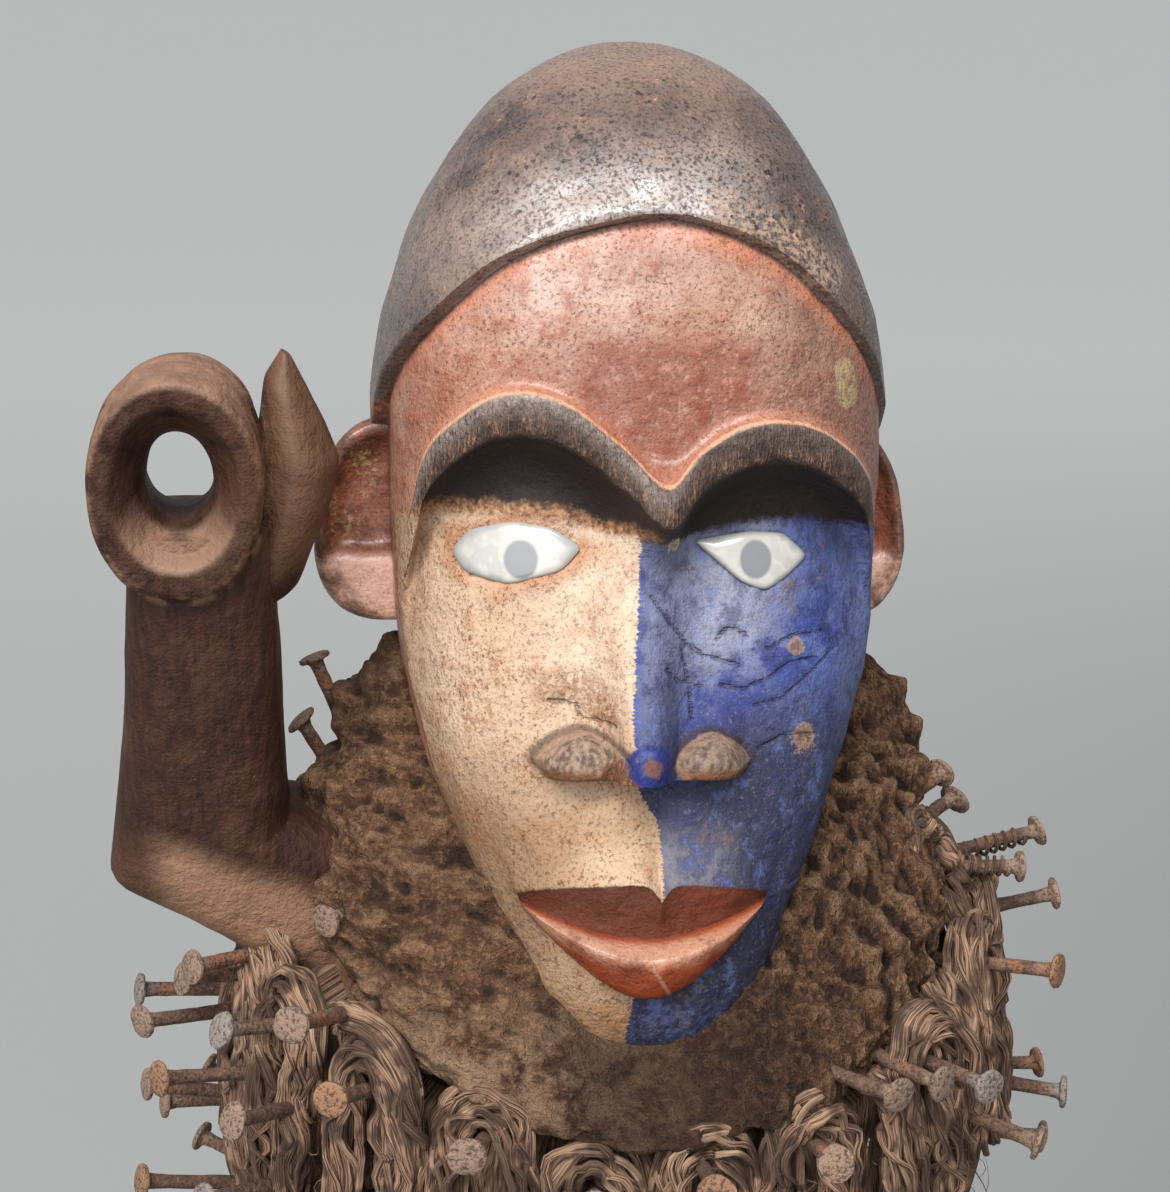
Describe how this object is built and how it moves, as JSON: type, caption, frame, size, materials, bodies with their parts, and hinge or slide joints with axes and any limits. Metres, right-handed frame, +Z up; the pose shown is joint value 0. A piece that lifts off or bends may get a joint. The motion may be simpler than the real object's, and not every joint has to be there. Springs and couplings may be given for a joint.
{
  "type": "nail fetish figure",
  "caption": "Standing carved wooden power figure with a raised arm, a two-coloured face, glass eyes, a caked collar, fibre hanks and driven iron nails, on a low base.",
  "frame": {"origin": "middle of the base's underside", "axes": "+Z up, the figure faces -Y, its raised right arm is on the -X side"},
  "size_m": [0.2712, 0.24, 0.909],
  "materials": {
    "carved_wood": "satin, worn",
    "caked_earth": "rough, unfired",
    "inlaid_eye": "gloss",
    "plant_fibre": "matt",
    "rusty_iron": "rusted"
  },
  "bodies": {
    "root": {"figure": "carved_wood", "collar": "caked_earth", "eye_right": "inlaid_eye", "eye_left": "inlaid_eye", "fibre_wrapping": "plant_fibre", "hank_01": "plant_fibre", "hank_02": "plant_fibre", "hank_03": "plant_fibre", "hank_04": "plant_fibre", "hank_05": "plant_fibre", "hank_06": "plant_fibre", "hank_07": "plant_fibre", "hank_08": "plant_fibre", "hank_09": "plant_fibre", "hank_10": "plant_fibre", "nail_01": "rusty_iron", "nail_02": "rusty_iron", "nail_03": "rusty_iron", "nail_04": "rusty_iron", "nail_05": "rusty_iron", "nail_06": "rusty_iron", "nail_07": "rusty_iron", "nail_08": "rusty_iron", "nail_09": "rusty_iron", "nail_10": "rusty_iron", "nail_11": "rusty_iron", "nail_12": "rusty_iron", "nail_13": "rusty_iron", "nail_14": "rusty_iron", "nail_15": "rusty_iron", "nail_16": "rusty_iron", "nail_17": "rusty_iron", "nail_18": "rusty_iron", "nail_19": "rusty_iron", "nail_20": "rusty_iron", "nail_21": "rusty_iron", "nail_22": "rusty_iron", "nail_23": "rusty_iron", "nail_24": "rusty_iron", "nail_25": "rusty_iron", "nail_26": "rusty_iron", "nail_27": "rusty_iron", "nail_28": "rusty_iron"}
  },
  "joints": []
}
